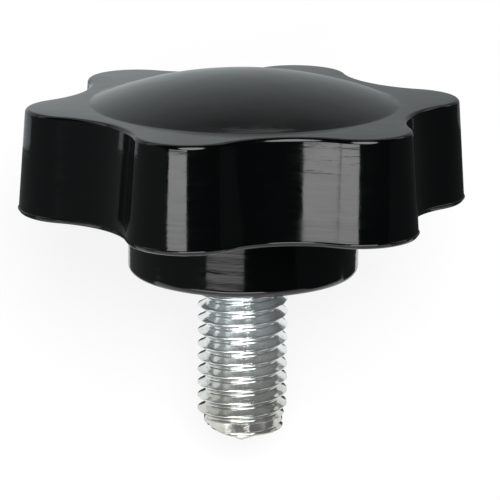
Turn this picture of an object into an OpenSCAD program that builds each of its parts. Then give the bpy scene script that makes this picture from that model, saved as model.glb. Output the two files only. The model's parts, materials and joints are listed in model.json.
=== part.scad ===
// Star knob screw: a six-lobed moulded star grip on a threaded steel stud.
// Each piece is drawn upright, with its axis on Z and the mould's parting line at z = 0.
// at_rest() then lays it on two lobes and the stud's end, as it comes to rest unheld.

/* [Star grip] */
// Diameter across opposite lobe tips, at the parting line
grip_d = 50; // [48:0.5:56]
// Depth of the valleys between the lobes
valley_depth = 5.1; // [4.2:0.1:5.6]
// Radius of a lobe's tip
lobe_r = 6; // [5.25:0.25:6.5]
// Height of the flat top above the parting line
grip_h = 11.1; // [8:0.1:13]
// Draft of the side wall in degrees, so that the moulding leaves its mould
draft = 4; // [1:0.5:5]
// Radius of the edge round the flat top
top_edge_r = 0.5; // [0.3:0.1:0.8]
// Height and radius of the rounded band below the parting line
band_h = 0.5; // [0.3:0.1:0.8]
// How far the parting line stands proud of the wall
lip_out = 0.1; // [0.05:0.01:0.15]

/* [Dome] */
// Diameter of the dome where its foot meets the flat top
dome_d = 34.4; // [28:0.2:34.4]
// Height of the dome above the flat top
dome_h = 3.2; // [1.5:0.1:5]
// Radius of the hollow round the dome's foot
dome_foot_r = 1; // [0.5:0.5:4]

/* [Hub] */
// Diameter of the hub
hub_d = 25.6; // [20:0.2:28]
// Height of the hub below the parting line
hub_h = 7.9; // [6:0.1:14]
// Radius of the hub's lower edge
hub_edge_r = 0.9; // [0.4:0.1:1.5]
// Radius where the hub joins the grip's underside
hub_root_r = 1; // [0.4:0.1:1.5]

/* [Stud] */
// Major diameter of the thread
thread_d = 10; // [8, 10, 12]
// Length of the stud that stands out of the hub
stud_length = 18.5; // [12:0.5:40]
// Height of the chamfer on the stud's end
tip_chamfer = 0.8; // [0.4:0.1:1.2]
// Length of the knurled end that is moulded in
knurl_length = 9; // [6:0.5:10]
// Number of ridges round the knurled end
knurl_count = 20; // [12:2:28]

/* [Hidden] */
$fn = 96;

LOBES = 6;
EDGE_STEP = 22.5;      // degrees that a small rounded edge turns by from one band to the next
TIP_STEP = 10.5;       // the same along a lobe's tip,
VALLEY_STEP = 8;       // along a valley
FOOT_STEP = 3;         // and in the hollow round the dome's foot
SINK = 1;              // how far a piece reaches into the one that carries it
LIP_H = 0.24;          // height of the parting line's ridge at its root
THREAD_SINK = 0.1;     // how far the thread runs into the hub before the neck begins
NECK_INSET = 0.5;      // the blank's neck is this much thinner all round than the thread
NECK_LENGTH = 3;       // from the hub's face to the knurled end
KNURL_DEPTH = 0.4;     // from the crest of a ridge to the bottom between two
GROOVE_DEPTH = 1.5;    // groove round the knurled end, which keeps it from being pulled out
GROOVE_H = 1.6;
DOME_FN = 720;         // the dome's sphere is large, so its outline needs many steps

// Star outline: the arc of a lobe's tip and the arc of a valley meet tangentially.
grip_r = grip_d / 2;
floor_r = grip_r - valley_depth;
lobe_c = grip_r - lobe_r;
half_step = 180 / LOBES;
valley_r = (pow(lobe_r, 2) - pow(lobe_c, 2) - pow(floor_r, 2) + 2 * lobe_c * floor_r * cos(half_step))
         / (2 * (floor_r - lobe_c * cos(half_step) - lobe_r));
valley_c = floor_r + valley_r;
// Direction from a lobe's centre to the next valley's centre, which both arcs end on
lobe_half = atan2(valley_c * sin(half_step), valley_c * cos(half_step) - lobe_c);
valley_half = lobe_half - half_step;

// Centre of the top edge's rounding, measured outwards from the star outline
top_edge_x = -(top_edge_r + (grip_h - top_edge_r) * sin(draft)) / cos(draft);

// Dome: a spherical cap, whose foot is a hollow that is tangent to the cap and to the flat.
dome_c = dome_d / 2;
dome_sphere_r = (pow(dome_c, 2) + pow(dome_h, 2)) / (2 * dome_h) - dome_foot_r;
dome_sphere_z = grip_h + dome_h - dome_sphere_r;
dome_slope = asin(dome_c / (dome_sphere_r + dome_foot_r));
dome_join = [dome_sphere_r * sin(dome_slope), dome_sphere_z + dome_sphere_r * cos(dome_slope)];

// Heights down the hub and the stud
seat_z = -hub_h;
tip_z = seat_z - stud_length;
knurl_z = seat_z + NECK_LENGTH;
hub_r = hub_d / 2;
thread_r = thread_d / 2;

// At rest the ridge on two lobes and the shoulder of the stud's chamfer touch one plane.
rest_reach = lobe_c * cos(half_step) + lobe_r + lip_out;
rest_ridge_z = -LIP_H / 4;
rest_tilt = atan2(rest_reach - thread_r, rest_ridge_z - tip_z - tip_chamfer);
rest_height = rest_reach * cos(rest_tilt) - rest_ridge_z * sin(rest_tilt);
// The stud's end reaches furthest to -Y, the top edge of the two lower lobes furthest to +Y.
rest_back_y = top_edge_r + (grip_h - top_edge_r) * cos(rest_tilt)
            + (lobe_c * cos(half_step) + lobe_r + top_edge_x) * sin(rest_tilt);
rest_front_y = tip_z * cos(rest_tilt) - (thread_r - tip_chamfer) * sin(rest_tilt);

// Points of an arc about c, from angle a0 to a1, in steps of about the given angle
function arc(c, r, a0, a1, step = EDGE_STEP) =
    let (n = ceil(abs(a1 - a0) / step))
    [for (i = [0:n]) let (a = a0 + (a1 - a0) * i / n) c + r * [cos(a), sin(a)]];

// Section of the grip's rim, from the underside up: x runs outwards from the star outline
function rim_section() =
    let (band_a = asin(LIP_H / 2 / band_h))
    concat(
        arc([-band_h, 0], band_h, -90, -band_a),
        [[lip_out, -LIP_H / 4], [lip_out, LIP_H / 4], [-tan(draft) * LIP_H / 2, LIP_H / 2]],
        arc([top_edge_x, grip_h - top_edge_r], top_edge_r, draft, 90));

// The star outline, moved outwards by grow: only the arcs' radii change, so walls keep their normals.
function star_outline(grow) =
    [for (i = [0:LOBES - 1])
        let (tip = arc([lobe_c, 0], lobe_r + grow, -lobe_half, lobe_half, TIP_STEP),
             floor = arc(valley_c * [cos(half_step), sin(half_step)], valley_r - grow,
                 180 + lobe_half, 180 + lobe_half - 2 * valley_half, VALLEY_STEP))
        each [for (p = concat(tip, [for (j = [1:len(floor) - 2]) floor[j]])) turned(p, 2 * half_step * i)]];

function turned(p, a) = [p.x * cos(a) - p.y * sin(a), p.x * sin(a) + p.y * cos(a)];

// Star grip: the outline carried round the rim's section, closed by a flat underside and top
module star_grip() {
    rim = rim_section();
    rings = [for (s = rim) [for (p = star_outline(s.x)) [p.x, p.y, s.y]]];
    n = len(rings[0]);
    last = len(rings) - 1;
    centres = [[0, 0, rim[0].y], [0, 0, rim[last].y]];
    polyhedron(
        points = concat([for (r = rings) each r], centres),
        faces = concat(
            [for (k = [0:last - 1], i = [0:n - 1]) let (j = (i + 1) % n)
                [k * n + i, (k + 1) * n + i, (k + 1) * n + j, k * n + j]],
            [for (i = [0:n - 1]) [i, (i + 1) % n, n * (last + 1)]],
            [for (i = [0:n - 1]) [n * last + (i + 1) % n, n * last + i, n * (last + 1) + 1]]));
}

// Low dome on the flat top
module dome() {
    low = grip_h - SINK;
    rotate_extrude() {
        intersection() {
            translate([0, dome_sphere_z]) circle(r = dome_sphere_r, $fn = DOME_FN);
            translate([0, low]) square([dome_join.x, SINK + 2 * dome_h]);
        }
        polygon(concat(
            [[dome_join.x, low], [dome_c, low]],
            arc([dome_c, grip_h + dome_foot_r], dome_foot_r, -90, -90 - dome_slope, FOOT_STEP)));
    }
}

// Hub under the grip, whose lower face is the seat
module hub() {
    rotate_extrude()
        polygon(concat(
            [[0, SINK - band_h], [hub_r + hub_root_r, SINK - band_h]],
            arc([hub_r + hub_root_r, -band_h - hub_root_r], hub_root_r, 90, 180),
            arc([hub_r - hub_edge_r, seat_z + hub_edge_r], hub_edge_r, 0, -90),
            [[0, seat_z]]));
}

// The part of the stud that is moulded into the hub: a neck, and a knurled end with a groove
module stud_anchor() {
    translate([0, 0, seat_z]) cylinder(h = THREAD_SINK, r = thread_r);
    translate([0, 0, seat_z]) cylinder(h = NECK_LENGTH + SINK, r = thread_r - NECK_INSET);
    difference() {
        translate([0, 0, knurl_z]) linear_extrude(knurl_length)
            polygon([for (i = [0:2 * knurl_count - 1])
                (thread_r - (i % 2) * KNURL_DEPTH) * [cos(180 * i / knurl_count), sin(180 * i / knurl_count)]]);
        translate([0, 0, knurl_z + (knurl_length - GROOVE_H) / 2]) difference() {
            cylinder(h = GROOVE_H, r = thread_d);
            translate([0, 0, -SINK]) cylinder(h = GROOVE_H + 2 * SINK, r = thread_r - GROOVE_DEPTH);
        }
    }
}

// The free length of the stud, at the thread's major diameter, with a chamfered end
module stud_shank() {
    translate([0, 0, tip_z + tip_chamfer]) cylinder(h = stud_length - tip_chamfer, r = thread_r);
    translate([0, 0, tip_z]) cylinder(h = tip_chamfer, r1 = thread_r - tip_chamfer, r2 = thread_r);
}

// Lays an upright piece down, over the middle of its own footprint's box: the dome faces +Y
// and up, and the stud's end -Y and down.
module at_rest() {
    translate([0, -(rest_back_y + rest_front_y) / 2, rest_height])
        rotate([rest_tilt - 90, 0, 0]) children();
}

// One moulding: star grip, dome and hub, closed round the stud's knurled end
module knob_body() {
    color("#1b1c1e") at_rest() difference() {
        union() {
            star_grip();
            dome();
            hub();
        }
        stud_anchor();
    }
}

// Steel stud, held by its knurled end
module threaded_stud() {
    color("#c9cccb") at_rest() {
        stud_anchor();
        stud_shank();
    }
}

knob_body();
threaded_stud();
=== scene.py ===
# %% [markdown]
# # Star knob screw
# This is a hand knob for clamping by feel: a glossy black moulding with six lobes, closed round the
# end of a zinc-plated steel stud. There are only two pieces, so the work is in their surfaces. The
# moulding follows one rule all round, and the stud's thread follows another, so each is swept by a
# Geometry Nodes tree. The lesson ends with a small studio, because a black gloss shows what is round it.

# %% Load the frame
import json
import math

import bmesh
import bpy
from mathutils import Matrix, Vector, noise


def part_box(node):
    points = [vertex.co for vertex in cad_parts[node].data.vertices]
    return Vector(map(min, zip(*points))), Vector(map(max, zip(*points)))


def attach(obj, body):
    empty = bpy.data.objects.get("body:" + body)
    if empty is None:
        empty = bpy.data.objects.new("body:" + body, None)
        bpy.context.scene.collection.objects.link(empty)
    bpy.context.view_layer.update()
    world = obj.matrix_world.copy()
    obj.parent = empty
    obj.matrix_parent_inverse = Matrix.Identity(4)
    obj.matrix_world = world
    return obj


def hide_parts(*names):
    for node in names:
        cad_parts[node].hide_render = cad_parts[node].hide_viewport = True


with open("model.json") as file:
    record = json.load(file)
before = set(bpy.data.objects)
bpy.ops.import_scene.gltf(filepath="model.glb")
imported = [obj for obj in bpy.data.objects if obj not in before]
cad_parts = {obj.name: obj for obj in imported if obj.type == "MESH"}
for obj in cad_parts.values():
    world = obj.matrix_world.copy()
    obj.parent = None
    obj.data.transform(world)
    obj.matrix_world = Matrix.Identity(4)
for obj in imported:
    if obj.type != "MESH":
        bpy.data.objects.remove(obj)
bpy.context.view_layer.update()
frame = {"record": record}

# %% [markdown]
# ## Where the knob lies
# A knob is easiest to draw upright, in millimetres, with its axis on Z and the mould's parting line
# at z = 0. The real one can't stand like that: it lies on two lobes and the end of its stud. The
# record's stud mount gives the axis and the middle of the thread, so one matrix lays a finished mesh
# down, and the object itself stays at the origin.

# %% Placement
MM = 0.001
HUB_H = 7.9  # from the parting line down to the hub's face
STUD_LENGTH = 18.5  # from the hub's face to the stud's end
TIP_CHAMFER = 0.8

mounts = {mount["name"]: mount for mount in frame["record"]["mounts"]}
axis = -Vector(mounts["stud"]["axis"])
thread_middle = -HUB_H - (STUD_LENGTH - TIP_CHAMFER) / 2
foot = Vector(mounts["stud"]["pos_m"]) - axis * thread_middle * MM
across = Vector((1, 0, 0))
turned = Matrix((across, axis.cross(across), axis)).transposed()
AT_REST = Matrix.Translation(foot) @ turned.to_4x4() @ Matrix.Scale(MM, 4)
print("the knob's axis stands", round(math.degrees(math.asin(axis.z)), 1), "degrees above the floor")


# %% [markdown]
# ## Numbers that are nodes
# A Geometry Nodes rule is a chain of Math nodes. Written one node at a time it is long and hard to
# check, so a small class lets Python's own signs make the nodes: a + b adds an Add node and returns
# its output. The rules below then read like the formulas they are.

# %% Fields
class Field:
    """An output socket that can be used in a formula."""

    def __init__(self, tree, socket):
        self.tree = tree
        self.socket = socket

    def node(self, operation, *others):
        math_node = self.tree.nodes.new("ShaderNodeMath")
        math_node.operation = operation
        for slot, value in zip(math_node.inputs, (self, *others)):
            if isinstance(value, Field):
                self.tree.links.new(value.socket, slot)
            else:
                slot.default_value = value
        return Field(self.tree, math_node.outputs[0])

    def __add__(self, other):
        return self.node("ADD", other)

    def __sub__(self, other):
        return self.node("SUBTRACT", other)

    def __mul__(self, other):
        return self.node("MULTIPLY", other)

    def __truediv__(self, other):
        return self.node("DIVIDE", other)

    def cos(self):
        return self.node("COSINE")

    def sin(self):
        return self.node("SINE")

    def mix(self, other, share):
        return self - (self - other) * share


print("formulas can be written with", ", ".join(n for n in vars(Field) if not n.startswith("_")))


# %% [markdown]
# ## One tree for both sweeps
# The knob and the thread are made the same way: a section is drawn once as a row of points, and
# a rule says where each point goes at each step of the sweep. The tree makes a grid with one row for
# each point of the section and one column for each step, reads the section's point by its index,
# and moves the grid's vertices to where the rule says. Columns that end where they began are merged.

# %% Sweep tree
MERGE = 0.001  # in the drawing's millimetres


def add_node(tree, kind, **settings):
    made = tree.nodes.new(kind)
    for name, value in settings.items():
        setattr(made, name, value)
    return made


def sweep_tree(name, sizes, rule):
    """A tree that sweeps the section it is given. rule(step, point, size) returns x, y and z."""
    tree = bpy.data.node_groups.new(name, "GeometryNodeTree")
    tree.interface.new_socket("Geometry", in_out="INPUT", socket_type="NodeSocketGeometry")
    for label in ("Columns", "Points"):
        tree.interface.new_socket(label, in_out="INPUT", socket_type="NodeSocketInt")
    for label in sizes:
        tree.interface.new_socket(label, in_out="INPUT", socket_type="NodeSocketFloat")
    tree.interface.new_socket("Material", in_out="INPUT", socket_type="NodeSocketMaterial")
    tree.interface.new_socket("Geometry", in_out="OUTPUT", socket_type="NodeSocketGeometry")
    given = tree.nodes.new("NodeGroupInput").outputs

    grid = add_node(tree, "GeometryNodeMeshGrid")
    tree.links.new(given["Columns"], grid.inputs["Vertices X"])
    tree.links.new(given["Points"], grid.inputs["Vertices Y"])
    index = Field(tree, tree.nodes.new("GeometryNodeInputIndex").outputs[0])
    points = Field(tree, given["Points"])
    step = (index / points).node("FLOOR")
    row = index - step * points

    position = tree.nodes.new("GeometryNodeInputPosition").outputs[0]
    sample = add_node(tree, "GeometryNodeSampleIndex", data_type="FLOAT_VECTOR")
    tree.links.new(given["Geometry"], sample.inputs["Geometry"])
    tree.links.new(position, sample.inputs["Value"])
    tree.links.new((row + 0.5).node("FLOOR").socket, sample.inputs["Index"])
    split = tree.nodes.new("ShaderNodeSeparateXYZ")
    tree.links.new(sample.outputs["Value"], split.inputs[0])
    point = [Field(tree, out) for out in split.outputs]

    placed = tree.nodes.new("ShaderNodeCombineXYZ")
    values = rule(step, point, {label: Field(tree, given[label]) for label in sizes})
    for slot, value in zip(placed.inputs, values):
        tree.links.new(value.socket, slot)
    move = tree.nodes.new("GeometryNodeSetPosition")
    tree.links.new(grid.outputs["Mesh"], move.inputs["Geometry"])
    tree.links.new(placed.outputs[0], move.inputs["Position"])
    merge = tree.nodes.new("GeometryNodeMergeByDistance")
    merge.inputs["Distance"].default_value = MERGE
    realize = tree.nodes.new("GeometryNodeRealizeInstances")
    coat = tree.nodes.new("GeometryNodeSetMaterial")
    tree.links.new(given["Material"], coat.inputs["Material"])
    result = tree.nodes.new("NodeGroupOutput")
    chain = [move, merge, realize, coat, result]
    for first, second in zip(chain, chain[1:]):
        tree.links.new(first.outputs["Geometry"], second.inputs["Geometry"])
    return tree


print("vertices closer than", MERGE, "mm are merged")


# %% Run a tree
def run_tree(tree, name, section, columns, sizes, material):
    """Sweeps a list of (x, y, z) points with the tree and returns the result as a plain mesh object."""
    mesh = bpy.data.meshes.new(name + "_section")
    mesh.from_pydata(section, [], [])
    source = bpy.data.objects.new(name + "_section", mesh)
    bpy.context.scene.collection.objects.link(source)
    modifier = source.modifiers.new("sweep", "NODES")
    modifier.node_group = tree
    values = {"Columns": columns, "Points": len(section), "Material": material, **sizes}
    for socket in tree.interface.items_tree:
        if socket.in_out == "INPUT" and socket.name in values:
            modifier[socket.identifier] = values[socket.name]
    bpy.context.view_layer.update()
    evaluated = source.evaluated_get(bpy.context.evaluated_depsgraph_get())
    swept = bpy.data.meshes.new_from_object(evaluated)
    source.modifiers.remove(modifier)
    bpy.data.objects.remove(source)
    made = bpy.data.objects.new(name, swept)
    bpy.context.scene.collection.objects.link(made)
    return made


print("so far there are", len(bpy.data.node_groups), "trees and", len(bpy.data.meshes), "meshes")


# %% [markdown]
# ## Helpers for closed meshes
# Three small jobs come back for both pieces. Open ends are closed with a fan, faces are turned
# outwards, and one closed body is cut by another with an exact Boolean, as a cutter or a mould does.
# Edges sharper than 30 degrees stay sharp, and all others are shaded as smooth.

# %% Close and cut
def close_ends(piece):
    """Fans each open loop of edges to a vertex on the axis and turns the faces outwards."""
    shape = bmesh.new()
    shape.from_mesh(piece.data)
    rims = [edge for edge in shape.edges if edge.is_boundary]
    while rims:
        loop = [rims.pop()]
        for edge in loop:
            for near in list(rims):
                if set(near.verts) & set(edge.verts):
                    rims.remove(near)
                    loop.append(near)
        heights = [vert.co.z for edge in loop for vert in edge.verts]
        centre = shape.verts.new((0, 0, sum(heights) / len(heights)))
        for edge in loop:
            shape.faces.new((*edge.verts, centre))
    bmesh.ops.recalc_face_normals(shape, faces=shape.faces)
    shape.to_mesh(piece.data)
    shape.free()
    return piece


def boolean(piece, other, operation):
    """Cuts a closed body by another one, joins the two, or keeps their common part."""
    modifier = piece.modifiers.new(operation, "BOOLEAN")
    modifier.operation = operation
    modifier.solver = "EXACT"
    modifier.object = other
    evaluated = piece.evaluated_get(bpy.context.evaluated_depsgraph_get())
    piece.data = bpy.data.meshes.new_from_object(evaluated)
    piece.modifiers.clear()
    return piece


print("ends are fanned, and Booleans are exact")

# %% Finish
SHARP = math.radians(30)


def finish_mesh(piece, material):
    """Smooth shading, one material, and the place in the mesh."""
    piece.data.materials.clear()
    piece.data.materials.append(material)
    piece.data.polygons.foreach_set("material_index", [0] * len(piece.data.polygons))
    piece.data.shade_smooth()
    piece.data.set_sharp_from_angle(angle=SHARP)
    piece.data.transform(AT_REST)
    piece.data.update()
    print(piece.name, "has", len(piece.data.polygons), "faces")
    return piece


print("edges stay sharp from", round(math.degrees(SHARP)), "degrees")

# %% [markdown]
# ## Glossy black thermoset
# Such knobs are pressed from a phenolic moulding compound that comes out of a polished mould with
# a deep gloss. It is nearly black, so almost all that is seen is reflection. The gloss isn't perfect:
# the mould was polished round its axis, which leaves fine level streaks in the highlights, the
# surface ripples a little, and handling dulls it in patches. All three are made from Object
# coordinates that a Mapping node turns back upright.

# %% Shader helpers
NOISE_LOW = 0.3
NOISE_HIGH = 0.7


def new_material(name):
    """A material whose Principled node is ready, with the piece's upright millimetres."""
    material = bpy.data.materials.new(name)
    material.use_nodes = True
    tree = material.node_tree
    place = tree.nodes.new("ShaderNodeTexCoord")
    upright = add_node(tree, "ShaderNodeMapping", vector_type="TEXTURE")
    upright.inputs["Location"].default_value = AT_REST.to_translation()
    upright.inputs["Rotation"].default_value = AT_REST.to_euler()
    upright.inputs["Scale"].default_value = AT_REST.to_scale()
    tree.links.new(place.outputs["Object"], upright.inputs["Vector"])
    return material, tree, tree.nodes["Principled BSDF"], upright.outputs["Vector"]


def noise_field(tree, vector, stretch, detail=4.0, roughness=0.5):
    """Noise between about 0 and 1. stretch is how many bumps there are in a millimetre, each way."""
    scale = add_node(tree, "ShaderNodeMapping", vector_type="POINT")
    scale.inputs["Scale"].default_value = stretch
    tree.links.new(vector, scale.inputs["Vector"])
    texture = tree.nodes.new("ShaderNodeTexNoise")
    texture.inputs["Scale"].default_value = 1.0
    texture.inputs["Detail"].default_value = detail
    texture.inputs["Roughness"].default_value = roughness
    tree.links.new(scale.outputs["Vector"], texture.inputs["Vector"])
    return Field(tree, texture.outputs["Fac"])


def spread(field, low, high):
    """Maps noise, which keeps to the middle of 0 to 1, onto low to high."""
    ramp = field.tree.nodes.new("ShaderNodeMapRange")
    ramp.inputs["From Min"].default_value = NOISE_LOW
    ramp.inputs["From Max"].default_value = NOISE_HIGH
    ramp.inputs["To Min"].default_value = low
    ramp.inputs["To Max"].default_value = high
    field.tree.links.new(field.socket, ramp.inputs["Value"])
    return Field(field.tree, ramp.outputs["Result"])


def bump(tree, height, depth, normal=None):
    """A bump of the given depth in millimetres, over an earlier one if that is given."""
    made = tree.nodes.new("ShaderNodeBump")
    made.inputs["Distance"].default_value = depth * MM
    tree.links.new(height.socket, made.inputs["Height"])
    if normal is not None:
        tree.links.new(normal, made.inputs["Normal"])
    return made.outputs["Normal"]


print("the shader helpers turn", tuple(round(v, 4) for v in AT_REST.to_euler()), "back upright")

# %% Thermoset material
NEARLY_BLACK = (0.0012, 0.0015, 0.0016, 1.0)
EVEN = (0.35, 0.35, 0.35)  # bumps in a millimetre, each way
FINE = (4.0, 4.0, 4.0)
LEVEL_STREAKS = (0.15, 0.15, 1.4)
RIPPLE_DEPTH = 0.02
GRAIN_DEPTH = 0.0008
STREAK_DEPTH = 0.02

thermoset, tree, surface, upright = new_material("gloss_thermoset")
surface.inputs["Base Color"].default_value = NEARLY_BLACK
streaks = noise_field(tree, upright, LEVEL_STREAKS, detail=3.0)
handling = noise_field(tree, upright, EVEN)
dullness = spread(handling, 0.05, 0.1) + spread(streaks, 0.0, 0.06)
tree.links.new(dullness.socket, surface.inputs["Roughness"])
ripple = bump(tree, noise_field(tree, upright, EVEN, detail=1.0), RIPPLE_DEPTH)
grain = bump(tree, noise_field(tree, upright, FINE), GRAIN_DEPTH, ripple)
tree.links.new(bump(tree, streaks, STREAK_DEPTH, grain), surface.inputs["Normal"])
print(thermoset.name, "has", len(tree.nodes), "nodes")

# %% [markdown]
# ## Zinc plate
# The stud is rolled steel with a thin bright coat of zinc. The plate is a metal, so its colour is in
# its reflections. Clear passivation leaves it bluish by the hub and yellowish grey at the end, with
# cloudy borders between the two. The colour by the hub is painted brighter than the plate, to make up
# for the shade that the knob casts there, and the colour grows darker towards the end. The thread is
# nicked by other screws in the box, so one noise sets both the nicks' depth and how dull they are.

# %% Zinc material
# painted light: the bluish colour is brighter than the plate, to make up for the knob's shade by the hub,
# and the end colour is darker
BLUISH_PAINTED_BRIGHT = (0.92, 0.97, 0.975, 1.0)
DARKER_END_TINT = (0.54, 0.54, 0.50, 1.0)
METAL = 0.85
PATCHES = (0.45, 0.45, 0.7)
NICKS = (1.6, 1.6, 2.4)
NICK_DEPTH = 0.015
ROLLED_DEPTH = 0.004
DARKENING_FROM = -12.0  # height at which the plate begins to turn darker and from bluish to yellowish grey,
DARKENING_FULL = -26.4  # and at which it has turned

zinc, tree, surface, upright = new_material("zinc_plated_steel")
surface.inputs["Metallic"].default_value = METAL
tint = add_node(tree, "ShaderNodeMix", data_type="RGBA")
tint.inputs["A"].default_value = BLUISH_PAINTED_BRIGHT
tint.inputs["B"].default_value = DARKER_END_TINT
patches = noise_field(tree, upright, PATCHES)
split = tree.nodes.new("ShaderNodeSeparateXYZ")
tree.links.new(upright, split.inputs[0])
down = (Field(tree, split.outputs["Z"]) - DARKENING_FROM) / (DARKENING_FULL - DARKENING_FROM)
# one mix sets the real tint and the painted brightness together
tint_and_painted_light = (spread(patches, -0.25, 0.25) + down).node("MAXIMUM", 0.0).node("MINIMUM", 1.0)
tree.links.new(tint_and_painted_light.socket, tint.inputs["Factor"])
tree.links.new(tint.outputs["Result"], surface.inputs["Base Color"])
nicks = noise_field(tree, upright, NICKS, detail=6.0, roughness=0.6)
tree.links.new(spread(nicks, 0.06, 0.16).socket, surface.inputs["Roughness"])
dents = bump(tree, nicks, NICK_DEPTH)
rolled = bump(tree, noise_field(tree, upright, FINE), ROLLED_DEPTH, dents)
tree.links.new(rolled, surface.inputs["Normal"])
print(zinc.name, "has", len(tree.nodes), "nodes")

# %% [markdown]
# ## The stud's thread
# An M10 thread has a pitch of 1.5 mm, flanks at 30 degrees to the plane across the axis, a narrow
# flat crest and a rounded root. The section is one pitch of it, from the middle of one root to the
# middle of the next, and its points are (radius, 0, height). The tree winds it up in a helix, so that
# the last point of each turn meets the first point of the next one and the surface is closed.

# %% Arcs
def arc(centre, radius, start, end, count):
    """Points of an arc in the section's plane, from one angle to the other in degrees."""
    angles = [math.radians(start + (end - start) * i / count) for i in range(count + 1)]
    return [(centre[0] + radius * math.cos(a), centre[1] + radius * math.sin(a)) for a in angles]


print("a quarter of a circle in 2 steps:", arc((0, 0), 1, 0, 90, 2))

# %% Thread section
THREAD_R = 5.0
PITCH = 1.5
FLANK = math.radians(30)
CREST_FLAT = PITCH / 8
CREST_ROUND = 0.06
ROOT_RADIUS = 0.144 * PITCH
ROOT_STEPS = 4
THREAD_DEPTH = 0.6134 * PITCH


def thread_section():
    """Half a tooth from the root's middle up to the crest's middle, and its mirror image."""
    root = THREAD_R - THREAD_DEPTH
    side = arc((root + ROOT_RADIUS, 0), ROOT_RADIUS, 180, 120, ROOT_STEPS)
    crest = [(THREAD_R - CREST_ROUND, PITCH / 2 - CREST_FLAT / 2 - CREST_ROUND * math.tan(FLANK))]
    crest += [(THREAD_R - 0.2 * CREST_ROUND, PITCH / 2 - CREST_FLAT / 2 + 0.1 * CREST_ROUND)]
    crest += [(THREAD_R, PITCH / 2 - CREST_FLAT / 4), (THREAD_R, PITCH / 2)]
    up = side + crest
    down = [(x, PITCH - z) for x, z in reversed(up[:-1])]
    return [(x, 0, z) for x, z in up + down]


tooth = thread_section()
print("one tooth has", len(tooth), "points and is", round(THREAD_DEPTH, 3), "mm deep")


# %% Helix tree
def helix(step, point, size):
    """One turn is a full pitch, and z rises anticlockwise, which is a right-hand thread."""
    turns = step / size["Steps in a turn"]
    angle = turns * math.tau
    return point[0] * angle.cos(), point[0] * angle.sin(), point[2] + size["Start"] + size["Pitch"] * turns


helix_tree = sweep_tree("helix", ["Steps in a turn", "Pitch", "Start"], helix)
print("the helix tree has", len(helix_tree.nodes), "nodes")

# %% Thread
TURN_STEPS = 128
TURNS = 16
SPARE_TURNS = 2  # wound below the end, and cut off again
CREST_HEIGHT = 0.97  # height of a crest over the first lobe, counted in the first pitch

seat_z = -HUB_H
tip_z = seat_z - STUD_LENGTH
start = CREST_HEIGHT - PITCH / 2 + PITCH * math.floor(tip_z / PITCH) - PITCH * SPARE_TURNS
sizes = {"Steps in a turn": TURN_STEPS, "Pitch": PITCH, "Start": start}
stud = run_tree(helix_tree, "stud", tooth, TURN_STEPS * TURNS + 1, sizes, zinc)
close_ends(stud)
print("the thread is wound from", round(start, 2), "to", round(start + PITCH * TURNS, 2), "mm")

# %% [markdown]
# ## The stud's cropped end
# A rolled rod is cut to length between two blades, which squeeze its end to a blunt ridge. One side
# is pushed up to a shelf with a burr beside it, and the last turns of the thread fade into the end.
# A turned blank is given that shape by moving its vertices, and a Boolean keeps only what lies
# within the blank, so the thread runs out as it does on the real stud.

# %% Blank
END_R = 4.2
END_EDGE = (0.2, 0.3)  # how far the end's edge is worn, across the axis and along it
END_SWELL = (0.15, 1.8)  # how much wider the end becomes, and by what height
TAPER_H = 2.4  # height above which the thread is whole
CLEAR = 0.1  # between the crests and the blank
THREAD_SINK = 0.1  # how far the thread runs into the hub


def revolve(name, outline, steps):
    """Turns (radius, z) points about the axis. The first and last lie on the axis."""
    section = [(x, 0, z) for x, z in outline]
    sizes = {"Steps in a turn": steps, "Pitch": 0.0, "Start": 0.0}
    return close_ends(run_tree(helix_tree, name, section, steps + 1, sizes, zinc))


blank_outline = [
    (0, tip_z),
    (END_R - END_EDGE[0], tip_z),
    (END_R, tip_z + END_EDGE[1]),
    (END_R + END_SWELL[0], tip_z + END_SWELL[1]),
    (THREAD_R + CLEAR, tip_z + TAPER_H),
    (THREAD_R + CLEAR, seat_z + THREAD_SINK),
    (0, seat_z + THREAD_SINK),
]
blank = revolve("blank", blank_outline, TURN_STEPS)
print("the blank is", round(seat_z + THREAD_SINK - tip_z, 2), "mm long")

# %% Cropped end
RIDGE_AZIMUTH = math.radians(258.8)  # round the axis, from the first lobe
LONG_SLOPE = 0.24
SHORT_SLOPE = 0.28
SHELF = 0.42  # height at which the short slope ends
BURR = 0.12  # how much the end is widened beside the shelf
ROUGH_SCALE = 1.3
ROUGH_DEPTH = 0.3


def crop_end(piece):
    """Slopes the end up to both sides of a ridge, and roughens it away from the ridge."""
    across = Vector((-math.sin(RIDGE_AZIMUTH), math.cos(RIDGE_AZIMUTH), 0))
    for vert in piece.data.vertices:
        share = max(0.0, 1 - (vert.co.z - tip_z) / TAPER_H)
        off_ridge = vert.co.dot(across)
        lift = max(-off_ridge * LONG_SLOPE, min(off_ridge * SHORT_SLOPE, SHELF))
        rough = noise.noise(vert.co * ROUGH_SCALE) * ROUGH_DEPTH * min(1.0, abs(off_ridge))
        swell = 1 + share * BURR * max(0.0, off_ridge / END_R) ** 2
        vert.co = (vert.co.x * swell, vert.co.y * swell, vert.co.z + share * (lift + max(0.0, rough)))
    piece.data.update()


crop_end(blank)
boolean(stud, blank, "INTERSECT")
bpy.data.objects.remove(blank)
print("the free stud has", len(stud.data.polygons), "faces")

# %% [markdown]
# ## The end that the moulding holds
# Inside the hub the stud has a neck, thinner than the thread, and a knurled length with a groove,
# so that it can neither turn nor slide in the moulding. It is a stack of rings on the axis, and
# every second point of a ring is a valley of the knurl, so one function lofts all of it.

# %% Ring loft
RIDGES = 20


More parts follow.
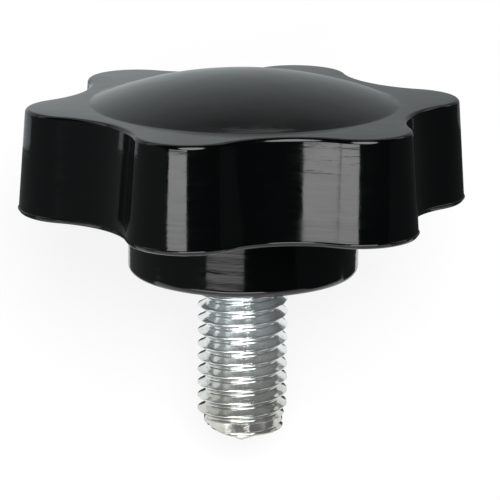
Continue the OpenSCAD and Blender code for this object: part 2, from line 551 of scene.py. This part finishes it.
def loft(name, rings):
    """Closes a stack of (z, radius, valley radius) rings, all with two points for each ridge."""
    shape = bmesh.new()
    count = 2 * RIDGES
    rows = []
    for z, crest, valley in rings:
        radii = [crest if i % 2 == 0 else valley for i in range(count)]
        turns = [math.tau * i / count for i in range(count)]
        rows.append([shape.verts.new((r * math.cos(a), r * math.sin(a), z)) for r, a in zip(radii, turns)])
    for low, high in zip(rows, rows[1:]):
        for i in range(count):
            j = (i + 1) % count
            shape.faces.new((low[i], low[j], high[j], high[i]))
    shape.faces.new(reversed(rows[0]))
    shape.faces.new(rows[-1])
    mesh = bpy.data.meshes.new(name)
    shape.to_mesh(mesh)
    shape.free()
    made = bpy.data.objects.new(name, mesh)
    bpy.context.scene.collection.objects.link(made)
    return made


print("the knurl has", RIDGES, "ridges")

# %% Knurled end
NECK_R = 4.5
NECK_LENGTH = 3.0
KNURL_LENGTH = 9.0
KNURL_DEPTH = 0.4
GROOVE_R = 3.5
GROOVE_H = 1.6

knurl_z = seat_z + NECK_LENGTH
groove_z = knurl_z + (KNURL_LENGTH - GROOVE_H) / 2
knurl = (THREAD_R, THREAD_R - KNURL_DEPTH)
anchor = loft("anchor", [
    (seat_z + THREAD_SINK / 2, NECK_R, NECK_R),
    (knurl_z, NECK_R, NECK_R),
    (knurl_z, *knurl),
    (groove_z, *knurl),
    (groove_z, GROOVE_R, GROOVE_R),
    (groove_z + GROOVE_H, GROOVE_R, GROOVE_R),
    (groove_z + GROOVE_H, *knurl),
    (knurl_z + KNURL_LENGTH, *knurl),
])
boolean(stud, anchor, "UNION")
bpy.data.objects.remove(anchor)
print("the stud is", round(knurl_z + KNURL_LENGTH - tip_z, 2), "mm long with its knurled end")

# %% [markdown]
# ## The star moulding
# The star's outline is made of arcs that meet tangentially: one for each lobe's tip and one for each
# valley. Moving the wall outwards or inwards only changes the arcs' radii, which is how draft, the
# parting line's ridge and the rounded top edge can follow the star all round. The section's points
# are (x, round, z): x is the distance outwards from the star where round is 0, and the radius of
# a plain circle where round is 1, as on the dome and the hub.

# %% Star outline
LOBES = 6
LOBE_R = 6.5
VALLEY_DEPTH = 5.1
LIP_OUT = 0.1  # how far the parting line's ridge stands proud

low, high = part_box("knob_body")
grip_r = (high.x - low.x) / 2 / MM - LIP_OUT
floor_r = grip_r - VALLEY_DEPTH
lobe_c = grip_r - LOBE_R
half_step = math.pi / LOBES
valley_r = (LOBE_R**2 - lobe_c**2 - floor_r**2 + 2 * lobe_c * floor_r * math.cos(half_step)) / (
    2 * (floor_r - lobe_c * math.cos(half_step) - LOBE_R)
)
valley_c = floor_r + valley_r
lobe_half = math.atan2(valley_c * math.sin(half_step), valley_c * math.cos(half_step) - lobe_c)
print("a lobe's tip turns by", round(math.degrees(2 * lobe_half)), "degrees")
print("a valley's radius is", round(valley_r, 2), "mm")

# %% Knob section
GRIP_H = 11.1
DRAFT = math.radians(4)
TOP_EDGE_R = 0.5
BAND_H = 0.5
LIP_H = 0.24
LIP_SHOULDER = 0.8 * LIP_OUT
DOME_R = 17.2
DOME_H = 3.2
DOME_FOOT_R = 1.0
HUB_R = 12.8
HUB_EDGE_R = 0.9
HUB_ROOT_R = 1.0
EDGE_STEPS = 12
BAND_STEPS = 9
FOOT_STEPS = 8
DOME_STEPS = 32


def knob_section():
    """From the middle of the hub's face, up the outside and over the top to the dome's middle."""
    top_x = -(TOP_EDGE_R + (GRIP_H - TOP_EDGE_R) * math.sin(DRAFT)) / math.cos(DRAFT)
    sphere_r = (DOME_R**2 + DOME_H**2) / (2 * DOME_H) - DOME_FOOT_R
    slope = math.degrees(math.asin(DOME_R / (sphere_r + DOME_FOOT_R)))
    hub = [(0, -HUB_H)]
    hub += arc((HUB_R - HUB_EDGE_R, HUB_EDGE_R - HUB_H), HUB_EDGE_R, -90, 0, EDGE_STEPS)
    hub += arc((HUB_R + HUB_ROOT_R, -BAND_H - HUB_ROOT_R), HUB_ROOT_R, 180, 90, EDGE_STEPS)
    rim = arc((-BAND_H, 0), BAND_H, -90, -math.degrees(math.asin(LIP_H / 2 / BAND_H)), BAND_STEPS)
    rim += [(LIP_SHOULDER, -LIP_H / 4), (LIP_OUT, 0), (LIP_SHOULDER, LIP_H / 4)]
    rim += [(-math.tan(DRAFT) * LIP_H / 2, LIP_H / 2)]
    rim += arc((top_x, GRIP_H - TOP_EDGE_R), TOP_EDGE_R, math.degrees(DRAFT), 90, EDGE_STEPS)
    dome = arc((DOME_R, GRIP_H + DOME_FOOT_R), DOME_FOOT_R, -90, -90 - slope, FOOT_STEPS)
    dome += arc((0, GRIP_H + DOME_H - sphere_r), sphere_r, 90 - slope, 90, DOME_STEPS)[1:]
    hub_points = [(x, 1, z) for x, z in hub]
    rim_points = [(x, 0, z) for x, z in rim]
    dome_points = [(x, 1, z) for x, z in dome]
    return hub_points + rim_points + dome_points


moulding = knob_section()
print("the moulding's section has", len(moulding), "points")


# %% Star tree
def star(step, point, size):
    """Each lobe's share of the steps is half tip and half valley, and each half is mirrored."""
    grow = point[0] * (point[1] * -1.0 + 1.0)
    turns = step / size["Steps in a lobe"]
    lobe = (turns + 0.5).node("FLOOR")
    side = turns - lobe
    reach = side.node("ABSOLUTE") * 4.0
    on_valley = reach.node("GREATER_THAN", 1.0)
    tip_angle = size["Lobe half angle"] * reach
    tip_r = size["Lobe radius"] + grow
    tip_x = size["Lobe centre"] + tip_r * tip_angle.cos()
    tip_y = tip_r * tip_angle.sin()
    valley_angle = size["Lobe half angle"] - (size["Lobe half angle"] - half_step) * (reach - 1.0)
    floor_radius = size["Valley radius"] - grow
    valley_x = size["Valley centre"] * math.cos(half_step) - floor_radius * valley_angle.cos()
    valley_y = size["Valley centre"] * math.sin(half_step) - floor_radius * valley_angle.sin()
    x = tip_x.mix(valley_x, on_valley)
    y = tip_y.mix(valley_y, on_valley)
    star_r = (x * x + y * y).node("SQRT")
    angle = y.node("ARCTAN2", x) * side.node("SIGN") + lobe * (math.tau / LOBES)
    radius = star_r.mix(point[0], point[1])
    return radius * angle.cos(), radius * angle.sin(), point[2]


LOBE_STEPS = 96
star_sizes = {
    "Steps in a lobe": LOBE_STEPS,
    "Lobe centre": lobe_c,
    "Lobe radius": LOBE_R,
    "Lobe half angle": lobe_half,
    "Valley centre": valley_c,
    "Valley radius": valley_r,
}
star_tree = sweep_tree("star", list(star_sizes), star)
print("the star tree has", len(star_tree.nodes), "nodes")

# %% [markdown]
# ## The moulding closes round the stud
# The real moulding is pressed round the stud's knurled end, so the two fit with no gap. Cutting the
# knob by the finished stud leaves that same hollow in it. Then both pieces are shaded, laid down and
# put on the body they ride on, and the CAD nodes they stand for are hidden.

# %% Knob
knob = run_tree(star_tree, "knob", moulding, LOBES * LOBE_STEPS + 1, star_sizes, thermoset)
close_ends(knob)
boolean(knob, stud, "DIFFERENCE")
print("the knob is", round(GRIP_H + DOME_H + HUB_H, 1), "mm high over hub and dome")

# %% Put both pieces in place
for piece, material, node, slot in (
    (knob, thermoset, "knob_body", "gloss_thermoset"),
    (stud, zinc, "threaded_stud", "zinc_plated_steel"),
):
    finish_mesh(piece, material)
    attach(piece, "root")
    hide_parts(node)

# %% [markdown]
# ## Camera
# The camera looks at the middle of the star from 13 degrees above its plane, through a long lens.
# Because the knob lies down, that is a steep view down onto the floor. The camera's right and up are
# worked out from the knob's axis, and a small roll and shift set the framing.

# %% Camera
VIEW_AZIMUTH = math.radians(258.8)  # round the knob's axis, from the first lobe
VIEW_ELEVATION = math.radians(12.97)
VIEW_ROLL = math.radians(0.466)
VIEW_DISTANCE = 353.0
IMAGE = 500
FOCAL = 3186.8  # in pixels of the image
FOOT_AT = (243.63, 200.88)  # pixel that the star's middle falls on

flat = Vector((math.cos(VIEW_AZIMUTH), math.sin(VIEW_AZIMUTH), 0))
back = flat * math.cos(VIEW_ELEVATION) + Vector((0, 0, math.sin(VIEW_ELEVATION)))
level = Vector((0, 0, 1)).cross(back).normalized()
above = back.cross(level)
right = level * math.cos(VIEW_ROLL) + above * math.sin(VIEW_ROLL)
above = above * math.cos(VIEW_ROLL) - level * math.sin(VIEW_ROLL)

camera_data = bpy.data.cameras.new("camera")
camera_data.lens = camera_data.sensor_width * FOCAL / IMAGE
camera_data.shift_x = 0.5 - FOOT_AT[0] / IMAGE
camera_data.shift_y = FOOT_AT[1] / IMAGE - 0.5
camera = bpy.data.objects.new("camera", camera_data)
looks = turned @ Matrix((right, above, back)).transposed()
camera.matrix_world = Matrix.Translation(foot + turned @ back * VIEW_DISTANCE * MM) @ looks.to_4x4()
bpy.context.scene.collection.objects.link(camera)
bpy.context.scene.camera = camera
print("the camera looks down at", round(math.degrees(math.asin((turned @ back).z))), "degrees")

# %% [markdown]
# ## Studio floor
# The floor is plain white paper. It is lit as any surface is, and what is missing to white is added
# for the camera and for reflections only, so that the object's shadow stays and nothing more falls on
# the object.

# %% Floor
FLOOR_HALF = 1.5
FLOOR_ALBEDO = 0.13  # share of the white that the lamps make, and so how dark a full shadow is
WHITE = 0.985


def stage_sheet(name, corners, material):
    """A flat or folded sheet for the stage: corners come in pairs, one pair for each edge or fold."""
    mesh = bpy.data.meshes.new(name)
    faces = [(i, i + 1, i + 3, i + 2) for i in range(0, len(corners) - 2, 2)]
    mesh.from_pydata(corners, [], faces)
    mesh.materials.append(material)
    sheet = bpy.data.objects.new(name, mesh)
    bpy.context.scene.collection.objects.link(sheet)
    return sheet


def light_path(tree, *rays):
    """1 on the given kinds of ray and 0 on all others."""
    path = tree.nodes.new("ShaderNodeLightPath")
    seen = Field(tree, path.outputs[rays[0]])
    for ray in rays[1:]:
        seen = seen.node("MAXIMUM", Field(tree, path.outputs[ray]))
    return seen


def paper_material():
    paper = bpy.data.materials.new("white_paper")
    paper.use_nodes = True
    tree = paper.node_tree
    tree.nodes.clear()
    diffuse = tree.nodes.new("ShaderNodeBsdfDiffuse")
    diffuse.inputs["Color"].default_value = (FLOOR_ALBEDO, FLOOR_ALBEDO, FLOOR_ALBEDO, 1)
    glow = tree.nodes.new("ShaderNodeEmission")
    seen = light_path(tree, "Is Camera Ray", "Is Glossy Ray", "Is Transmission Ray")
    tree.links.new((seen * (WHITE - FLOOR_ALBEDO)).socket, glow.inputs["Strength"])
    both = tree.nodes.new("ShaderNodeAddShader")
    tree.links.new(diffuse.outputs[0], both.inputs[0])
    tree.links.new(glow.outputs[0], both.inputs[1])
    output = tree.nodes.new("ShaderNodeOutputMaterial")
    tree.links.new(both.outputs[0], output.inputs["Surface"])
    return paper


floor = stage_sheet(
    "floor",
    [(x * FLOOR_HALF, y * FLOOR_HALF, 0) for x, y in ((-1, -1), (1, -1), (-1, 1), (1, 1))],
    paper_material(),
)
print("the floor is", 2 * FLOOR_HALF, "m wide")

# %% [markdown]
# ## Studio room
# The camera sees white all round. Everything else sees a room that is pale at the horizon and dark
# overhead, because a black gloss only looks black when something dark is mirrored in it.

# %% World
HORIZON = 0.9
ROOM = 0.01
ROOM_RISE = 0.4  # sine of the elevation above which the room is dark

world = bpy.data.worlds.new("studio")
world.use_nodes = True
tree = world.node_tree
split = tree.nodes.new("ShaderNodeSeparateXYZ")
tree.links.new(tree.nodes.new("ShaderNodeTexCoord").outputs["Generated"], split.inputs[0])
fade = add_node(tree, "ShaderNodeMapRange", interpolation_type="SMOOTHSTEP")
for label, value in (("From Max", ROOM_RISE), ("To Min", HORIZON), ("To Max", ROOM)):
    fade.inputs[label].default_value = value
tree.links.new(split.outputs["Z"], fade.inputs["Value"])
seen = Field(tree, fade.outputs["Result"]).mix(WHITE, light_path(tree, "Is Camera Ray"))
tree.links.new(seen.socket, tree.nodes["Background"].inputs["Strength"])
tree.nodes["Background"].inputs["Color"].default_value = (1, 1, 1, 1)
bpy.context.scene.world = world
bpy.context.scene.view_settings.view_transform = "Standard"
print("the room goes from", HORIZON, "at the horizon to", ROOM, "overhead")

# %% [markdown]
# ## Cards
# Photographers stand cards round a glossy thing to draw its form. Here every card glows at a set
# brightness instead of being lit, so what it shows is a painted reflection. A grey card lies behind the
# knob and is mirrored in the flat top and the dome. Its glow is painted to fade away from the knob and
# to the right, as light from one side would make it. On each side a dark card lies on the floor and
# another stands upright, which keeps the lobes' sides and the hub black, and two narrow dark strips
# draw lines on the thread. All of them show in reflections only, so they take no light from the object.

# %% Grey card
# the faint cyan tint of every card's glow is a painted reflection colour
GREY_TINT = (0.93, 1.0, 1.01, 1.0)
BACK_GREY = 0.63
BACK_LEAN = 0.41  # how much of its brightness the grey card loses for each radian to the right
BACK_FADE = 0.15  # distance in metres at which the grey card is half as bright
BACK_NEAR = 0.017
BACK_FAR = 0.7
CARD_LIFT = 0.0002


def card(name, corners, brightness):
    """A glowing card that only reflections see, so it paints a reflection. brightness is a number, where 1
    is white, or a rule for one.
    """
    material = bpy.data.materials.new(name)
    material.use_nodes = True
    tree = material.node_tree
    tree.nodes.clear()
    glow = tree.nodes.new("ShaderNodeEmission")
    glow.inputs["Color"].default_value = GREY_TINT
    output = tree.nodes.new("ShaderNodeOutputMaterial")
    tree.links.new(glow.outputs[0], output.inputs["Surface"])
    if callable(brightness):
        tree.links.new(brightness(tree).socket, glow.inputs["Strength"])
    else:
        glow.inputs["Strength"].default_value = brightness
    made = stage_sheet(name, corners, material)
    for kind in ("camera", "diffuse", "transmission", "volume_scatter", "shadow"):
        setattr(made, "visible_" + kind, False)
    return made


def painted_back_fade(tree):
    """Painted light: the glow is brightest to the left by the knob, and darker to the right and with the
    distance behind it.
    """
    split = tree.nodes.new("ShaderNodeSeparateXYZ")
    tree.links.new(tree.nodes.new("ShaderNodeTexCoord").outputs["Object"], split.inputs[0])
    along = Field(tree, split.outputs["Y"])
    turn = Field(tree, split.outputs["X"]).node("ARCTAN2", along)
    return (along / BACK_FADE + 1.0).node("POWER", -1.0) * BACK_GREY * (turn * -BACK_LEAN + 1.0)


card(
    "grey_card",
    [(x, y, CARD_LIFT) for y in (BACK_NEAR, BACK_FAR) for x in (-BACK_FAR, BACK_FAR)],
    painted_back_fade,
)
print("the grey card begins", BACK_NEAR, "m behind the middle")

# %% Dark cards
SIDE = 0.06  # distance of the upright cards from the middle
TALL = 0.07
LOW_FRONT = -0.013
CARDS_BACK = 0.03
STRIPS_FRONT = -0.026


def side_card(name, side, profile, front, brightness):
    """A card on one side. profile is its (distance to the side, height) points."""
    return card(name, [(side * x, y, z) for x, z in profile for y in (front, CARDS_BACK)], brightness)


# painted reflections: each card glows at its set brightness, more on the left than on the right, instead
# of being lit
for name, side, inner, tall_front, dark in (
    ("left", -1, 0.016, -0.05, 0.13),
    ("right", 1, 0.026, -0.065, 0.05),
):
    side_card(name + "_low_card", side, ((inner, CARD_LIFT), (SIDE, CARD_LIFT)), LOW_FRONT, dark)
    side_card(name + "_tall_card", side, ((SIDE, 0.0), (SIDE, TALL)), tall_front, dark)
# painted reflections: two dark glowing strips that draw dark lines on the thread
for name, near, far in (("left_strip", -0.0048, -0.003), ("right_strip", 0.0068, 0.0092)):
    card(name, [(x, y, CARD_LIFT) for y in (STRIPS_FRONT, 0.0) for x in (near, far)], ROOM)
print("the upright cards stand", SIDE, "m to each side")

# %% [markdown]
# ## Lamps
# Two soft boxes stand near the camera. The key one makes the upright highlights on the lobes, the hub
# and the thread's crests, and the low one is mirrored by the flanks that face down. Both fade towards
# their lower edge, as a soft box does whose bulb is near the top. A wide even light overhead lights
# the floor and gives the knob its soft shadow.

# %% Soft boxes
LAMP_DISTANCE = 0.8


def soft_box(name, azimuth, elevation, width, height, radiance, dimmest):
    """An area lamp that faces the knob. Directions are given round the knob, as seen by the camera:
    azimuth to the right, and elevation above the star's plane. The lower edge has the radiance times
    dimmest, where 1 is white, and the upper edge has the whole radiance more."""
    turn = VIEW_AZIMUTH + math.radians(azimuth)
    rise = math.radians(elevation)
    away = Vector((math.cos(turn) * math.cos(rise), math.sin(turn) * math.cos(rise), math.sin(rise)))
    data = bpy.data.lights.new(name, "AREA")
    data.shape = "RECTANGLE"
    data.size = width
    data.size_y = height
    data.energy = radiance * math.pi * width * height
    data.use_nodes = True
    tree = data.node_tree
    split = tree.nodes.new("ShaderNodeSeparateXYZ")
    tree.links.new(tree.nodes.new("ShaderNodeNewGeometry").outputs["Parametric"], split.inputs[0])
    fade = Field(tree, split.outputs["Y"]) + dimmest
    tree.links.new(fade.socket, tree.nodes["Emission"].inputs["Strength"])
    light = bpy.data.objects.new(name, data)
    side = Vector((0, 0, 1)).cross(away).normalized()
    facing = Matrix((side, away.cross(side), away)).transposed()
    place = foot + turned @ away * LAMP_DISTANCE
    light.matrix_world = Matrix.Translation(place) @ (turned @ facing).to_4x4()
    light.visible_camera = False
    bpy.context.scene.collection.objects.link(light)
    return light


key = soft_box("key", -18, -9, width=0.515, height=0.3, radiance=4.1, dimmest=0.4)
low_box = soft_box("low", -17, -45, width=1.0, height=0.2, radiance=7.0, dimmest=0.07)
print("the soft boxes give", round(key.data.energy, 1), "and", round(low_box.data.energy, 1), "W")

# %% Overhead light
OVERHEAD_LIGHT = math.pi  # so that white paper on the floor renders as white
OVERHEAD_WIDTH = math.radians(50)

overhead = bpy.data.lights.new("overhead", "SUN")
overhead.energy = OVERHEAD_LIGHT
overhead.angle = OVERHEAD_WIDTH
bpy.context.scene.collection.objects.link(bpy.data.objects.new("overhead", overhead))
print("the light overhead is", round(math.degrees(OVERHEAD_WIDTH)), "degrees wide")
